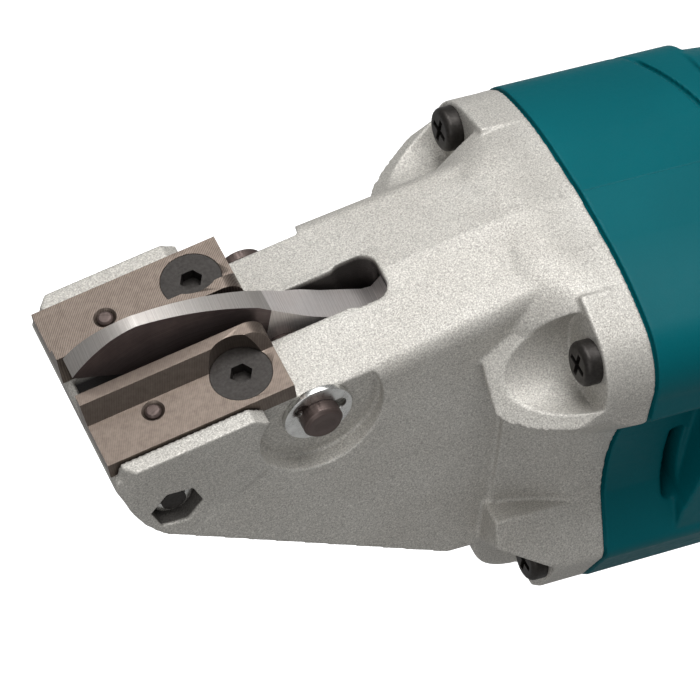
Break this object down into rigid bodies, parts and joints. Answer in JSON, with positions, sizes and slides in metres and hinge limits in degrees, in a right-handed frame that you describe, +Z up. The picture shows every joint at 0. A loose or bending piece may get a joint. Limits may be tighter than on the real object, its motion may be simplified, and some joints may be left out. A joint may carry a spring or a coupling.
{
  "type": "fibre cement shear",
  "caption": "Corded pistol-grip shear for fibre-cement siding: a beak blade swings between fixed side blades on a cast aluminium head, with a plastic motor body.",
  "frame": {"origin": "the middle of the cutting mouth: level with the side blades' cutting lips, at their front edge, on the tool's middle plane", "axes": "+X points rearwards, parallel to the motor axis; +Z is up, away from the grip; -Y is the user's left"},
  "size_m": [0.3015, 0.0806, 0.2282],
  "materials": {
    "cast_aluminium": "fine bead-blasted casting",
    "blade_steel": "ground tool steel",
    "black_oxide": "black oxide",
    "bright_zinc": "bright zinc plate",
    "ground_steel": "ground and polished",
    "plate_aluminium": "machined",
    "lamination_steel": "stacked laminations",
    "copper": "enamelled copper",
    "teal_plastic": "satin moulded",
    "black_plastic": "fine grain moulded",
    "brass": "bright drawn",
    "carbon": "pressed carbon",
    "black_rubber": "matt"
  },
  "bodies": {
    "tool_body": {"gear_housing": "cast_aluminium", "side_blade_left": "blade_steel", "side_blade_right": "blade_steel", "side_blade_screws": "black_oxide", "side_blade_pins": "ground_steel", "pivot_pin": "black_oxide", "pivot_ring": "bright_zinc", "jaw_tie_bolt": "black_oxide", "jaw_tie_nut": "bright_zinc", "crank_front_bearing": "ground_steel", "crank_rear_bearing": "ground_steel", "bearing_plate": "plate_aluminium", "bearing_plate_screws": "bright_zinc", "gear_housing_screws": "black_oxide", "motor_front_bearing": "ground_steel", "motor_rear_bearing": "ground_steel", "field_core": "lamination_steel", "field_coils": "copper", "fan_baffle": "black_plastic", "motor_housing": "teal_plastic", "brush_holders": "brass", "carbon_brushes": "carbon", "brush_caps": "black_plastic", "handle_left": "teal_plastic", "handle_right": "teal_plastic", "handle_screws": "black_oxide", "switch_body": "black_plastic", "cord_guard": "black_rubber", "power_cord": "black_rubber", "cord_clamp": "black_plastic"},
    "beak": {"centre_blade": "blade_steel"},
    "crank": {"crank_shaft": "ground_steel", "crank_roller": "ground_steel", "drive_gear": "ground_steel", "gear_key": "ground_steel"},
    "armature": {"armature_shaft": "ground_steel", "armature_core": "lamination_steel", "armature_windings": "copper", "commutator": "copper", "cooling_fan": "black_plastic"},
    "trigger": {"trigger": "black_plastic", "switch_plunger": "black_plastic"},
    "lock_button": {"lock_button": "black_plastic"}
  },
  "joints": [
    {"name": "blade_swing", "type": "hinge", "parent": "tool_body", "child": "beak", "pos_m": [0.04424, 0, -0.00396], "axis": [0, 1, 0], "range_deg": [-1.5, 7.6]},
    {"name": "motor_spin", "type": "hinge", "parent": "tool_body", "child": "armature", "pos_m": [0.09384, 0, -0.02536], "axis": [1, 0, 0], "continuous": true},
    {"name": "crank_spin", "type": "hinge", "parent": "tool_body", "child": "crank", "pos_m": [0.09384, 0, -0.00916], "axis": [1, 0, 0], "continuous": true},
    {"name": "trigger_pull", "type": "slide", "parent": "tool_body", "child": "trigger", "axis": [1, 0, 0], "range_m": [0, 0.006]},
    {"name": "lock_press", "type": "slide", "parent": "tool_body", "child": "lock_button", "axis": [0, 1, 0], "range_m": [0, 0.003]}
  ],
  "couplings": [
    {"joint": "crank_spin", "follows": "motor_spin", "ratio": -0.2}
  ]
}
